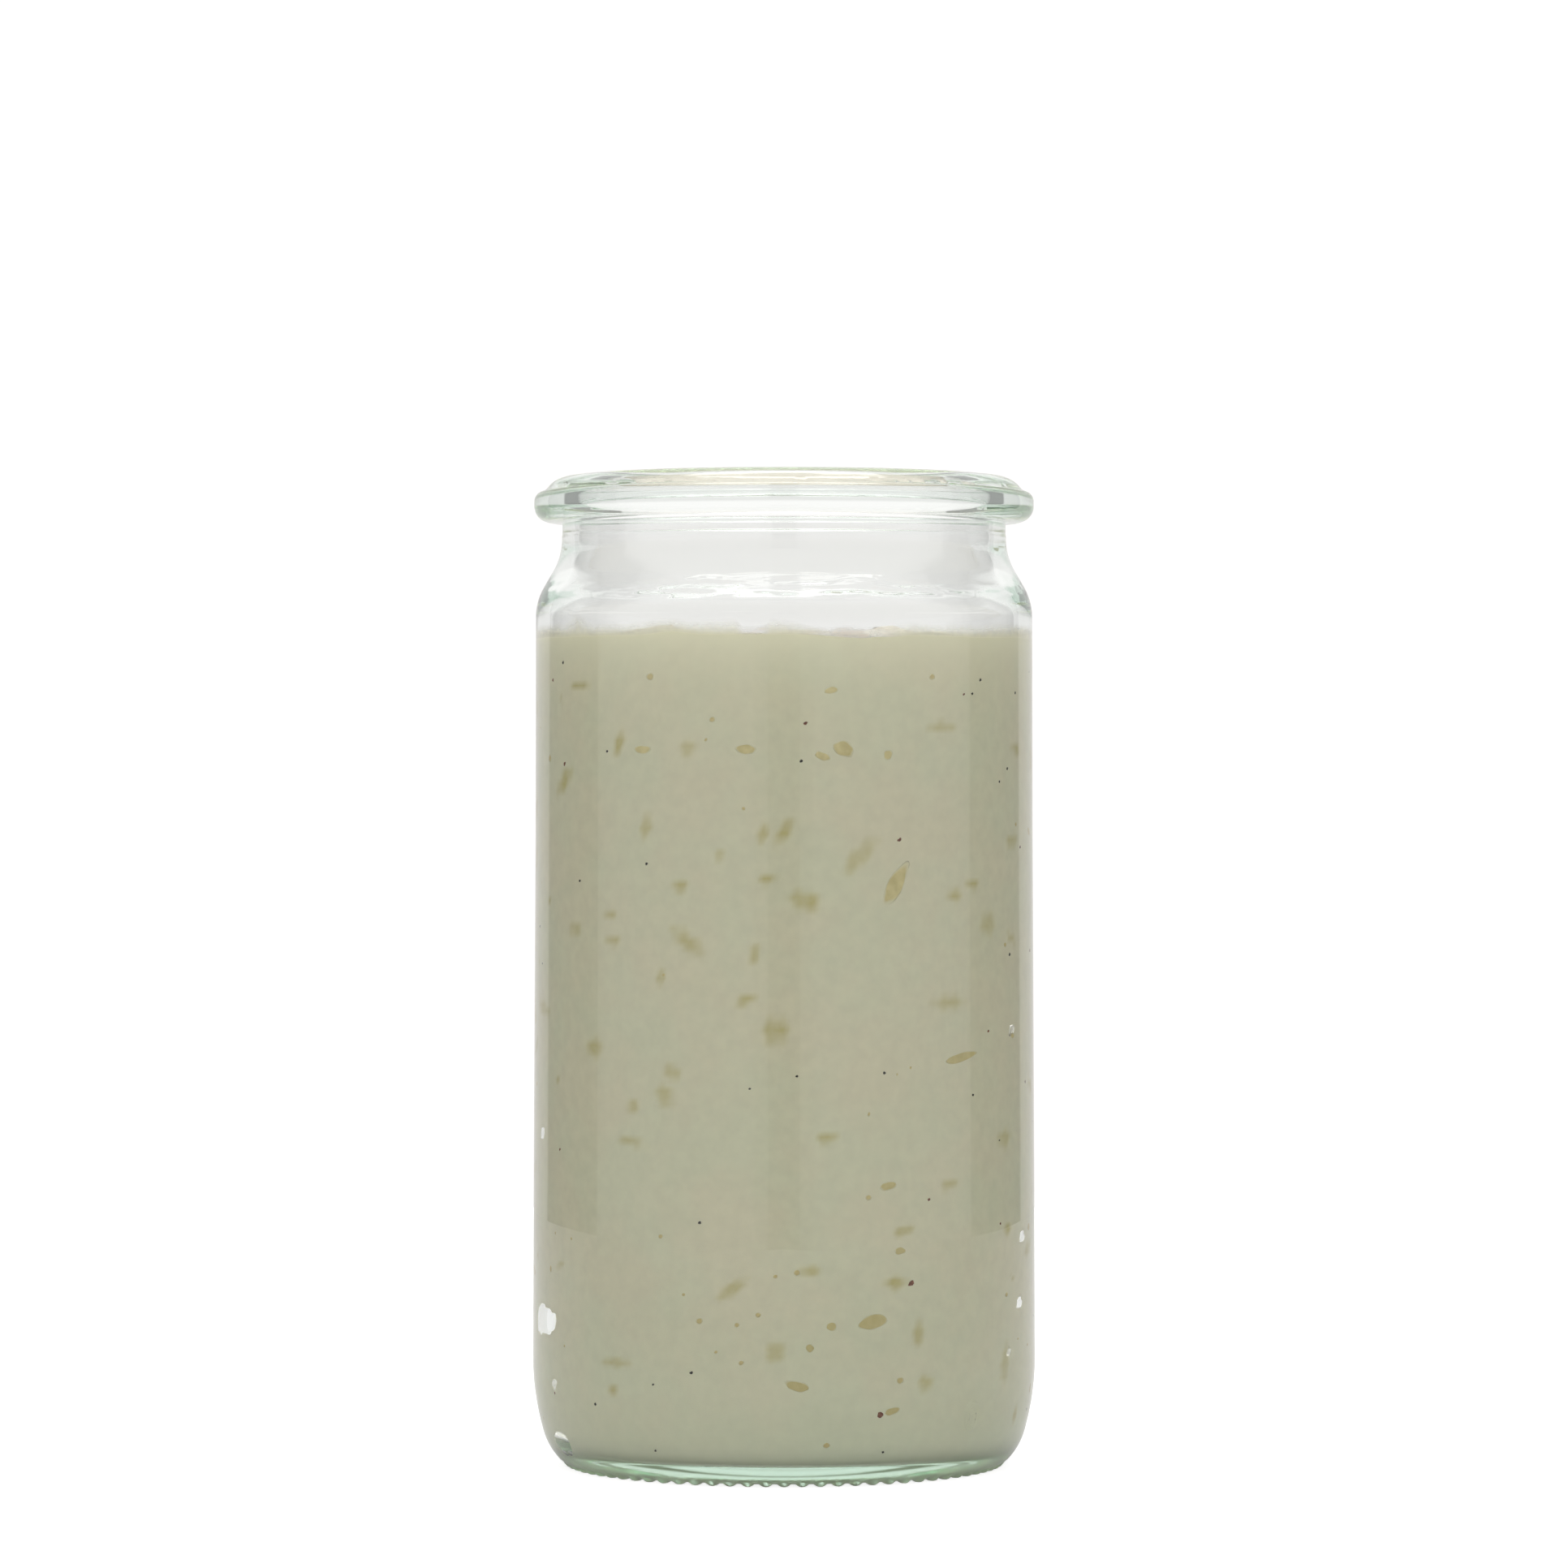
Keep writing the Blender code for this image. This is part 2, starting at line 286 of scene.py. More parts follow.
CREAM_BEIGE = (0.740, 0.697, 0.528)
CREAM_GREENISH = (0.711, 0.703, 0.530)
# Near the level: painted light that stands for light coming in through the open top, over a creamier tone
CREAM_AND_PAINTED_LIGHT_NEAR_TOP = (1.000, 0.960, 0.715)
CREAM_NEAR_FOOT = (0.690, 0.770, 0.580)
# At the floor's edge: a dark green painted shade round the dressing's lower edge
PAINTED_SHADE_AT_FLOOR = (0.080, 0.140, 0.050)
# How far below the level the painted light reaches, how high the greener tone at the foot reaches, and how
# far above the floor's edge the painted shade reaches
PAINTED_LIGHT_DEPTH = 4.0 * MM
NEAR_FOOT_HEIGHT = 6.5 * MM
PAINTED_SHADE_HEIGHT = 0.35 * MM

STAIN_COLOUR = (0.560, 0.500, 0.225)
WALL_FROTH_COLOUR = (1.0, 0.93, 0.82)
OPEN_TOP_DARK = (0.690, 0.650, 0.545)
OPEN_TOP_LIGHT = (0.750, 0.712, 0.615)
OPEN_TOP_FROTH = (0.90, 0.84, 0.74)
SMEAR_COLOUR = (1.0, 0.955, 0.74)
# The froth skin's crumples are painted: the first colour is painted shade in the creases, the second the
# paler colour between them
FROTH_PAINTED_CREASE_SHADE = (0.95, 0.82, 0.70)
FROTH_PALE = (1.0, 0.96, 0.90)

ONION_DEEP = (0.53, 0.45, 0.20)
ONION_PALE = (0.73, 0.64, 0.345)
CRUMB_DEEP = (0.58, 0.48, 0.22)
CRUMB_PALE = (0.68, 0.58, 0.31)
PEPPER_DARK = (0.015, 0.015, 0.012)
PEPPER_LIGHT = (0.07, 0.065, 0.05)
RED_PEPPER_DARK = (0.13, 0.035, 0.02)
RED_PEPPER_LIGHT = (0.28, 0.11, 0.06)


# ================================================================ outlines and turned meshes

def rounded_corner(before, corner, after, fillet):
    """The points of an arc that rounds the corner between two straight runs."""
    back = (before - corner).normalized()
    ahead = (after - corner).normalized()
    half_angle = back.angle(ahead) / 2
    centre = corner + (back + ahead).normalized() * fillet / math.sin(half_angle)
    start = corner + back * fillet / math.tan(half_angle) - centre
    end = corner + ahead * fillet / math.tan(half_angle) - centre
    sweep = start.angle_signed(end)
    steps = max(3, min(math.ceil(abs(sweep) * fillet / ARC_STEP), math.ceil(abs(sweep) / FINEST_TURN)))
    return [centre + Matrix.Rotation(-sweep * i / steps, 2) @ start for i in range(steps + 1)]


def rounded_path(corners):
    """Turn (radius, height, fillet) corners into a list of points."""
    spots = [Vector(corner[:2]) for corner in corners]
    path = [spots[0]]
    for i in range(1, len(corners) - 1):
        fillet = corners[i][2]
        if fillet:
            path += rounded_corner(spots[i - 1], spots[i], spots[i + 1], fillet)
        else:
            path.append(spots[i])
    path.append(spots[-1])
    return path


def divided(path, longest):
    """The same path with its long runs cut into shorter ones; longest is a function of the point."""
    fine = [path[0]]
    for end in path[1:]:
        while (end - fine[-1]).length > longest(fine[-1]) * 1.4:
            fine.append(fine[-1] + (end - fine[-1]).normalized() * longest(fine[-1]))
        fine.append(end)
    return fine


def thinned(path, shortest):
    """The same path without the points that crowd the one before them."""
    kept = [path[0]]
    for point in path[1:-1]:
        if (point - kept[-1]).length > shortest:
            kept.append(point)
    return kept + [path[-1]]


def ring_arc(points, i, columns):
    """The points of a ring from column i to the next; a point on the axis stands for a whole ring."""
    if len(points) == 1:
        return points[:]
    step = len(points) // columns
    return [points[(i * step + k) % len(points)] for k in range(step + 1)]


def turned_mesh(name, rows):
    """A mesh of rings in order; neighbours have as many points, or one a multiple of the other's."""
    mesh = bmesh.new()
    rings = [[mesh.verts.new(point) for point in row] for row in rows]
    for above, below in zip(rings, rings[1:]):
        columns = min(len(above), len(below))
        if columns == 1:
            columns = max(len(above), len(below))
        for i in range(columns):
            mesh.faces.new(ring_arc(above, i, columns) + ring_arc(below, i, columns)[::-1])
    bmesh.ops.recalc_face_normals(mesh, faces=mesh.faces)
    return linked_piece(name, mesh)


def linked_piece(name, mesh):
    data = bpy.data.meshes.new(name)
    mesh.to_mesh(data)
    mesh.free()
    data.shade_smooth()
    piece = bpy.data.objects.new(name, data)
    bpy.context.scene.collection.objects.link(piece)
    return piece


def ring(radius, height, columns, shape):
    """One ring of a turned mesh; shape gives each point its own radius and height."""
    if radius < 1e-6:
        return [Vector((0.0, 0.0, height))]
    points = []
    for i in range(columns):
        angle = math.tau * i / columns - math.pi / 2
        r, z = shape(angle, radius, height)
        points.append(Vector((r * math.cos(angle), r * math.sin(angle), z)))
    return points


def smooth(value):
    """A soft step from 0 to 1."""
    t = min(1.0, max(0.0, value))
    return t * t * (3 - 2 * t)


def bell(value):
    return math.exp(-value * value)


def angle_of(azimuth):
    return math.radians(azimuth) - math.pi / 2


def turn_between(angle, other):
    """The signed turn from one angle to the other, in radians."""
    return (angle - other + math.pi) % math.tau - math.pi


def swell(angle, azimuth, half_width):
    """1 at this azimuth, falling softly to 0 over the half width in degrees."""
    return bell(math.degrees(turn_between(angle, angle_of(azimuth))) / half_width)


def wall_noise(angle, waves, up, aside=0.0, ahead=0.0):
    """Noise round the jar's axis, with about this many waves to a radian; up is in waves too."""
    return noise.noise(Vector((waves * math.cos(angle) + aside, waves * math.sin(angle) + ahead, up)))


def store(mesh, name, values):
    """Keep a number for each vertex, for the material to read."""
    attribute = mesh.attributes.new(name, "FLOAT", "POINT")
    attribute.data.foreach_set("value", values)


# ================================================================ the glass

def inner_ripple(angle, height):
    """The uneven inside of the glass, with a fold of short waves where the shoulder turns in."""
    ripple = 0.05 * wall_noise(angle, 2.2, height / (26 * MM))
    ripple += 0.016 * wall_noise(angle, 6.5, height / (9 * MM), aside=9)
    away = (height - FOLD_HEIGHT) / FOLD_HALF_HEIGHT
    if abs(away) < 2.5:
        drift = 0.35 * wall_noise(angle, 5, 7)
        thick = sum(swell(angle, azimuth, FOLD_HALF_WIDTH) for azimuth in FOLD_AZIMUTHS)
        waves = wall_noise(angle, 7, height / (0.7 * MM) + 2 * drift)
        waves += 0.3 * wall_noise(angle, 16, height / (0.35 * MM))
        ripple += (0.035 + 0.07 * thick) * bell(away + drift) * (0.4 + waves)
    return ripple * MM


def outer_ripple(angle, height):
    """The slight waviness of the outside."""
    long_wave = wall_noise(angle, 1.8, height / (60 * MM), aside=4)
    short_wave = wall_noise(angle, 7.0, height / (30 * MM), ahead=5)
    return (0.02 * long_wave + 0.006 * short_wave) * MM


def ripple_share(radius):
    """How much of the wall's unevenness shows at this radius."""
    return smooth((radius - RIPPLE_START_RADIUS) / RIPPLE_FADE)


def cup_corners():
    """The inside of the jar, from the centre of the floor up to the shoulder."""
    return [
        (0.0, FLOOR_CENTRE_HEIGHT, 0.0),
        (CUP_RADIUS, FLOOR_EDGE_HEIGHT, CUP_HEEL_FILLET),
        (CUP_RADIUS, CUP_TOP_HEIGHT, CUP_SHOULDER_FILLET),
        (MOUTH_RADIUS, THROAT_HEIGHT, THROAT_FILLET),
    ]


def glass_inside():
    return rounded_path(cup_corners() + [
        (MOUTH_RADIUS, MOUTH_CHAMFER_HEIGHT, MOUTH_CHAMFER_FILLET),
        (LIP_INNER_RADIUS, JAR_HEIGHT, LIP_INNER_FILLET),
        (LIP_TOP_RADIUS, JAR_HEIGHT, 0.0),
    ])


def glass_outside():
    return rounded_path([
        (LIP_TOP_RADIUS, JAR_HEIGHT, 0.0),
        (LIP_RADIUS, JAR_HEIGHT, LIP_FILLET),
        (BEVEL_BASE_RADIUS, BEVEL_BASE_HEIGHT, 0.0),
        (BEAD_RADIUS, BEVEL_BASE_HEIGHT, BEAD_TOP_FILLET),
        (BEAD_RADIUS, BEAD_BASE_HEIGHT, BEAD_BASE_FILLET),
        (NECK_RADIUS, BEAD_BASE_HEIGHT, BEAD_ROOT_FILLET),
        (NECK_RADIUS, NECK_SEAM_HEIGHT, 0.0),
        (NECK_RADIUS + NECK_SEAM_STEP, NECK_SEAM_HEIGHT - NECK_SEAM_WIDTH, 0.0),
        (NECK_RADIUS, NECK_BASE_HEIGHT, NECK_FILLET),
        (SHOULDER_RADIUS, SHOULDER_BASE_HEIGHT, SHOULDER_FILLET),
        (BODY_MIDDLE_RADIUS, BODY_MIDDLE_HEIGHT, 0.0),
        (BODY_RADIUS, HEEL_TOP_HEIGHT, HEEL_TOP_FILLET),
        (HEEL_RADIUS, HEEL_HEIGHT, HEEL_FILLET),
        (FOOT_RADIUS, BEARING_HEIGHT, FOOT_FILLET),
        (BEARING_INNER_RADIUS, BEARING_HEIGHT, BEARING_FILLET),
        (PUSH_UP_EDGE_RADIUS, PUSH_UP_EDGE_HEIGHT, PUSH_UP_FILLET),
        (0.0, PUSH_UP_HEIGHT, 0.0),
    ])


def base_bump(angle, radius):
    """How far a bump of the base ring reaches at this place, from 0 to 1."""
    pitch = math.tau / BUMP_COUNT
    nearest = pitch * round((angle + math.pi / 2) / pitch) - math.pi / 2
    across = (angle - nearest) * BUMP_RING_RADIUS / (BUMP_WIDTH / 2)
    along = (radius - BUMP_RING_RADIUS) / (BUMP_LENGTH / 2)
    return math.sqrt(max(0.0, 1.0 - across ** 2 - along ** 2))


def mould_mark(angle, height):
    """A plain oval mark near the foot of the jar: a low ring with a smaller one in it."""
    across = turn_between(angle, angle_of(MARK_AZIMUTH)) * BODY_RADIUS / (MARK_WIDTH / 2)
    along = (height - MARK_HEIGHT) / (MARK_LENGTH / 2)
    narrower, shorter = MARK_INNER_SHRINK
    outer = bell((math.hypot(across, along) - MARK_RING) / MARK_OUTER_WIDTH)
    inner = bell((math.hypot(across * narrower, along * shorter) - MARK_RING) / MARK_INNER_WIDTH)
    return MARK_RISE * min(1.0, outer + inner)


def inside_shape(angle, radius, height):
    fade = ripple_share(radius) * smooth((JAR_HEIGHT - 2 * MM - height) / (6 * MM))
    return radius + fade * inner_ripple(angle, height), height


def outside_shape(angle, radius, height):
    if height > BUMPS_END_HEIGHT or radius < BEARING_INNER_RADIUS:
        below_neck = smooth((NECK_SEAM_HEIGHT - height) / (5 * MM))
        above_foot = smooth((height - BUMPS_END_HEIGHT) / (6 * MM))
        return radius + below_neck * above_foot * outer_ripple(angle, height), height
    reach = base_bump(angle, radius)
    return radius, height * (1.0 - reach)


def inside_step(point):
    """Short rows at the wavy fold in the shoulder, and long ones elsewhere."""
    return FOLD_STEP if abs(point.y - FOLD_HEIGHT) < 1.8 * FOLD_HALF_HEIGHT else RUN_STEP


def is_base_ring(point):
    return point.y < BUMPS_END_HEIGHT and abs(point.x - BUMP_RING_RADIUS) < BUMP_LENGTH * 0.9


def outside_step(point):
    if is_base_ring(point):
        return BUMP_ROW_STEP
    beside_mark = abs(point.y - MARK_HEIGHT) < MARK_LENGTH and point.x > CUP_RADIUS
    return MARK_ROW_STEP if beside_mark else RUN_STEP


def add_mould_mark(piece):
    """Cut the faces round the mark finely and raise it out of the wall."""
    mesh = bmesh.new()
    mesh.from_mesh(piece.data)

    def near_mark(spot):
        aside = turn_between(math.atan2(spot.y, spot.x), angle_of(MARK_AZIMUTH)) * BODY_RADIUS
        outside = math.hypot(spot.x, spot.y) > CUP_RADIUS + 0.8 * MM or spot.z < FLOOR_EDGE_HEIGHT
        return outside and abs(aside) < MARK_WIDTH * 0.8 and abs(spot.z - MARK_HEIGHT) < MARK_LENGTH * 0.75

    edges = [edge for edge in mesh.edges if all(near_mark(vertex.co) for vertex in edge.verts)]
    bmesh.ops.subdivide_edges(mesh, edges=edges, cuts=MARK_CUTS, use_grid_fill=True)
    for vertex in mesh.verts:
        if near_mark(vertex.co):
            angle = math.atan2(vertex.co.y, vertex.co.x)
            radius = math.hypot(vertex.co.x, vertex.co.y) + mould_mark(angle, vertex.co.z)
            vertex.co.x = radius * math.cos(angle)
            vertex.co.y = radius * math.sin(angle)
    mesh.to_mesh(piece.data)
    mesh.free()
    piece.data.shade_smooth()


def make_glass():
    inside = divided(glass_inside(), inside_step)
    outside = divided(glass_outside(), outside_step)
    rows = [ring(point.x, point.y, WALL_COLUMNS, inside_shape) for point in inside]
    for point in outside[1:]:
        columns = BASE_COLUMNS if is_base_ring(point) else WALL_COLUMNS
        rows.append(ring(point.x, point.y, columns, outside_shape))
    piece = turned_mesh("canning_glass", rows)
    add_mould_mark(piece)
    return piece


# ================================================================ the dressing

def dressing_height(x, y):
    """The level at a place: long low waves, with a few soft peaks left by pouring."""
    waves = 0.0
    for share, turn_x, turn_y, shift in WAVES:
        waves += share * math.sin(turn_x * x + turn_y * y + shift)
    height = DRESSING_LEVEL - 0.5 * MM + WAVE_HEIGHT * waves
    for angle, distance in PEAKS:
        turn = math.radians(angle)
        away = math.hypot(x - distance * MM * math.cos(turn), y - distance * MM * math.sin(turn))
        height += PEAK_HEIGHT * bell(away / PEAK_WIDTH)
    return height


def froth_at(angle):
    """How much froth stands at the wall here, from 0 to 1, and how high it rises."""
    amount, rise = 0.0, 0.0
    for azimuth, half_width, height in FROTHS:
        share = smooth(1.5 * (1.0 - abs(math.degrees(turn_between(angle, angle_of(azimuth)))) / half_width))
        amount = max(amount, share)
        crest = 0.75 + 0.5 * wall_noise(angle, 9, azimuth)
        rise = max(rise, share * height * crest)
    return amount, rise


def edge_height(angle):
    """Where the dressing meets the wall."""
    wave = 0.22 * wall_noise(angle, 2.6, 3) + 0.10 * wall_noise(angle, 9, 1)
    hump, dip = (height * swell(angle, azimuth, width) for azimuth, width, height in (EDGE_HUMP, EDGE_DIP))
    return DRESSING_LEVEL - 0.75 * MM + (wave + hump - dip) * MM + 0.3 * froth_at(angle)[1]


def pocket_depth(angle, height):
    """How far the dressing stands back from the wall at an air pocket."""
    deepest = 0.0
    for azimuth, middle, width, tall in POCKETS:
        across = turn_between(angle, angle_of(azimuth)) * CUP_RADIUS / (width * MM / 2)
        along = (height - middle * MM) / (tall * MM / 2)
        if abs(across) > 1.6 or abs(along) > 1.6:
            continue
        ragged = 0.35 * noise.noise(Vector((angle * 18, height / (1.6 * MM), azimuth))) if width > 2 else 0.0
        deepest = max(deepest, smooth(2.2 * (1.12 + ragged - math.hypot(across, along))))
    return deepest * POCKET_DEPTH


def wall_radius(angle, height):
    """The radius of the dressing where it touches the glass."""
    return CUP_RADIUS + INTO_WALL + inner_ripple(angle, height)


def dressing_side_shape(angle, radius, height):
    if height > DRESSING_LEVEL - EDGE_REACH:
        share = (height - DRESSING_LEVEL + EDGE_REACH) / EDGE_REACH
        height += share * (edge_height(angle) - DRESSING_LEVEL)
    ripple = ripple_share(radius) * inner_ripple(angle, height)
    r = radius + INTO_WALL + ripple - pocket_depth(angle, height)
    froth = froth_at(angle)[0]
    stands_back = froth * smooth((height - DRESSING_LEVEL + 0.9 * MM) / (0.8 * MM))
    if stands_back > 0:
        crease = wall_noise(angle, 14, height / (0.6 * MM))
        r -= stands_back * (0.12 + 0.12 * crease) * MM
    return r, height


def dressing_top_shape(angle, radius, height):
    to_edge = bell((CUP_RADIUS - radius) / (1.1 * MM))
    inside = dressing_height(radius * math.cos(angle), radius * math.sin(angle))
    edge_radius = dressing_side_shape(angle, CUP_RADIUS, DRESSING_LEVEL)[0]
    r = radius * (1 + (edge_radius / CUP_RADIUS - 1) * (radius / CUP_RADIUS) ** 6)
    crumple = noise.noise(Vector((r * math.cos(angle), r * math.sin(angle), 0)) / (2.2 * MM))
    grain = 0.18 * crumple * MM * (1 - to_edge)
    return r, inside + to_edge * (edge_height(angle) - inside) + grain


def dressing_row_step(point):
    return next((step for height, step in DRESSING_ROW_STEPS if point.y < height), LEVEL_ROW_STEP)


def make_dressing():
    cup = [point for point in rounded_path(cup_corners()) if point.y < 20 * MM]
    cup.append(Vector((CUP_RADIUS, DRESSING_LEVEL)))
    floor_end = next(i for i, point in enumerate(cup) if point.x > RIPPLE_START_RADIUS)
    path = divided(cup[:floor_end + 1], lambda point: RUN_STEP)
    path += divided(cup[floor_end:], dressing_row_step)[1:]
    path = thinned(path, SHORTEST_ROW_STEP)
    rows = []
    for point in path:
        sink = INTO_WALL if point.y < FLOOR_ZONE else 0.0
        rows.append(ring(point.x, point.y - sink, DRESSING_COLUMNS, dressing_side_shape))
    for i in range(1, TOP_RINGS + 1):
        share = 1.0 - (i / TOP_RINGS) ** 1.8
        rows.append(ring(CUP_RADIUS * share, DRESSING_LEVEL, DRESSING_COLUMNS, dressing_top_shape))
    piece = turned_mesh("dressing_body", rows)
    paint_dressing(piece, len(path) - 1)
    return piece


def stain_over(angles, heights):
    """How strongly a sunk bit shows at each vertex of the side, from 0 to 1."""
    stain = np.zeros(len(angles))
    for azimuth, height, length, width, tilt in SUNK_BITS + scattered_bits(count=90, clear_half=62, seed=11):
        right = turn_between(angles, angle_of(azimuth)) * CUP_RADIUS / MM
        up = heights / MM - height
        turn = math.radians(tilt)
        along = (right * math.cos(turn) + up * math.sin(turn)) / (length / 2)
        aside = (up * math.cos(turn) - right * math.sin(turn)) / (width / 2)
        ragged = 0.12 * np.sin(3.1 * right + azimuth) + 0.12 * np.sin(4.3 * up + height)
        depth = np.clip((1.45 + ragged - np.hypot(along, aside)) / 1.1, 0, 1)
        strength = 0.70 + 0.30 * ((azimuth * 7 + height * 13) % 10) / 10
        stain = np.maximum(stain, strength * depth * depth * (3 - 2 * depth))
    return stain


def paint_dressing(piece, wall_rings):
    """Store where sunk bits and froth are, and which faces are open to the air."""
    mesh = piece.data
    spots = np.empty(len(mesh.vertices) * 3)
    mesh.vertices.foreach_get("co", spots)
    x, y, heights = spots.reshape(-1, 3).T
    angles = np.arctan2(y, x)
    froth = np.array([froth_at(angle)[0] for angle in angles])
    froth *= np.clip((heights - DRESSING_LEVEL + 0.8 * MM) / (0.5 * MM), 0, 1)
    froth *= np.clip((np.hypot(x, y) - 28.0 * MM) / (1.5 * MM), 0, 1)
    store(mesh, "stain", stain_over(angles, heights))
    store(mesh, "froth", froth)
    # The ring where the side meets the open top; the middle of the floor is vertex 0
    rim = range(1 + (wall_rings - 1) * DRESSING_COLUMNS, 1 + wall_rings * DRESSING_COLUMNS)
    for polygon in mesh.polygons:
        polygon.material_index = 1 if min(polygon.vertices) >= rim.start else 0
    for edge in mesh.edges:
        edge.use_edge_sharp = edge.vertices[0] in rim and edge.vertices[1] in rim


def is_apart(azimuth, height, bits):
    """Whether this place keeps its distance from all the bits."""
    return all(math.hypot((azimuth - other[0]) * MM_PER_DEGREE, height - other[1]) > BIT_SPACING
               for other in bits)


def scattered_bits(count, clear_half, seed):
    """Bits all round the sides and back, clear of the front, whose bits are listed one by one."""
    dice = random.Random(seed)
    bits = []
    while len(bits) < count:
        azimuth = dice.uniform(clear_half, 360 - clear_half)
        height = dice.uniform(*SCATTER_HEIGHTS)
        length = dice.choice(SCATTER_LENGTHS)
        bit = (azimuth, height, length, length * dice.uniform(0.35, 0.7), dice.uniform(-80, 80))
        if is_apart(azimuth, height, bits):
            bits.append(bit)
    return bits


# ================================================================ bits in the dressing

def on_wall(azimuth, height, right, up, outward):
    """A place on the dressing's side, from sizes in mm: right and up along it, and outward from it."""
    angle = angle_of(azimuth) + right * MM / CUP_RADIUS
    z = (height + up) * MM
    radius = wall_radius(angle, z) + outward * MM
    return Vector((radius * math.cos(angle), radius * math.sin(angle), z))


def on_top(azimuth, distance, right, up, outward):
    """A place on the dressing's open top, this far from the axis."""
    x = (distance * math.cos(angle_of(azimuth)) + right) * MM
    y = (distance * math.sin(angle_of(azimuth)) + up) * MM
    return Vector((x, y, dressing_height(x, y) + (outward + 0.05) * MM))


def add_bit(mesh, place, bit, depth, seed, roughness, subdivisions):
    """A rounded flake that lies flat on the dressing's side or top."""
    azimuth, height, length, width, tilt = bit
    made = bmesh.ops.create_icosphere(mesh, subdivisions=subdivisions, radius=1.0)
    middle, tone = mesh.verts.layers.float["middle"], mesh.verts.layers.float["tone"]
    turn = math.radians(tilt)
    for vertex in made["verts"]:
        way = vertex.co.copy()
        grow = 1 + roughness * noise.noise(way * 1.3 + Vector((seed, 0, seed * 0.7)))
        right = way.x * length / 2 * grow
        up = way.y * width / 2 * grow * (1 + 0.10 * way.x * math.sin(seed))
        turned_right = right * math.cos(turn) - up * math.sin(turn)
        turned_up = right * math.sin(turn) + up * math.cos(turn)
        vertex.co = place(azimuth, height, turned_right, turned_up, way.z * depth / 2)
        vertex[middle] = 1.0 - min(1.0, math.hypot(way.x, way.y))
        vertex[tone] = 0.75 * height / 100 + 0.2 * (math.sin(seed * 12.9) + 1) / 2


def bits_piece(name, bits, depth, roughness, subdivisions, top_bits=()):
    mesh = bmesh.new()
    mesh.verts.layers.float.new("middle")
    mesh.verts.layers.float.new("tone")
    for seed, bit in enumerate(bits):
        add_bit(mesh, on_wall, bit, depth, seed + 1.37, roughness, subdivisions)
    for seed, bit in enumerate(top_bits):
        add_bit(mesh, on_top, bit, depth, seed + 0.61, roughness, subdivisions)
    bmesh.ops.recalc_face_normals(mesh, faces=mesh.faces)
    return linked_piece(name, mesh)


def placed_grains(places, breadth, tilt):
    """Grains from (azimuth, height, size) places; breadth is their width as a share of their length."""
    return [(azimuth, height, size, size * breadth, tilt) for azimuth, height, size in places]


def scattered_grains(count, smallest, largest, clear_half, seed):
    """Grains all round the jar, but not within clear_half degrees of the front."""
    dice = random.Random(seed)
    grains = []
    for _ in range(count):
        size = dice.uniform(smallest, largest)
        azimuth = dice.uniform(clear_half, 360 - clear_half)
        height = dice.uniform(*SCATTER_HEIGHTS)
        width = size * dice.uniform(0.6, 1.0)
        grains.append((azimuth, height, size, width, dice.uniform(0, 90)))
    return grains


def scattered_on_top(count, smallest, largest, seed):
    """Grains spread evenly over the open top: azimuth, distance from the axis, length, width, tilt."""
    dice = random.Random(seed)
    grains = []
    for _ in range(count):
        size = dice.uniform(smallest, largest)
        distance = TOP_SCATTER_RADIUS * math.sqrt(dice.uniform(0, 1))
        azimuth = dice.uniform(0, 360)
        width = size * dice.uniform(0.5, 0.9)
        grains.append((azimuth, distance, size, width, dice.uniform(0, 90)))
    return grains


def make_onion():
    bits = CLEAR_BITS + scattered_bits(count=46, clear_half=80, seed=5)
    return bits_piece("onion_bits", bits, depth=0.24, roughness=0.25, subdivisions=3)


def make_crumbs():
    crumbs = placed_grains(CLEAR_CRUMBS, breadth=0.85, tilt=20)
    crumbs += scattered_grains(count=26, smallest=0.3, largest=0.6, clear_half=0, seed=23)
    crumbs += scattered_grains(count=60, smallest=0.5, largest=1.1, clear_half=62, seed=29)
    return bits_piece("onion_crumbs", crumbs, depth=0.16, roughness=0.25, subdivisions=2)


def make_black_grains():
    grains = placed_grains(BLACK_GRAINS, breadth=0.85, tilt=30)
    grains += scattered_grains(count=46, smallest=0.25, largest=0.45, clear_half=58, seed=31)
    on_top_grains = scattered_on_top(count=26, smallest=0.3, largest=0.6, seed=41)
    return bits_piece("pepper_grains", grains, 0.24, 0.5, 2, top_bits=on_top_grains)


def make_red_grains():
    grains = placed_grains(RED_GRAINS, breadth=0.7, tilt=40)
    grains += scattered_grains(count=24, smallest=0.3, largest=0.6, clear_half=60, seed=37)
    on_top_grains = scattered_on_top(count=9, smallest=0.4, largest=0.8, seed=43)
    return bits_piece("red_pepper_grains", grains, 0.24, 0.6, 2, top_bits=on_top_grains)


def film_top(angle):
    """How high the thin smear on the glass reaches above the dressing."""
    height = 1.9 + 0.5 * wall_noise(angle, 4, 8) + 0.2 * wall_noise(angle, 14, 2)
    azimuth, half_width, peak = FILM_PEAK
    height += peak * swell(angle, azimuth, half_width)
    froth, rise = froth_at(angle)
    return max(1.0, height * (1.0 - froth) + (1.2 * rise / MM + 0.2) * froth) * MM


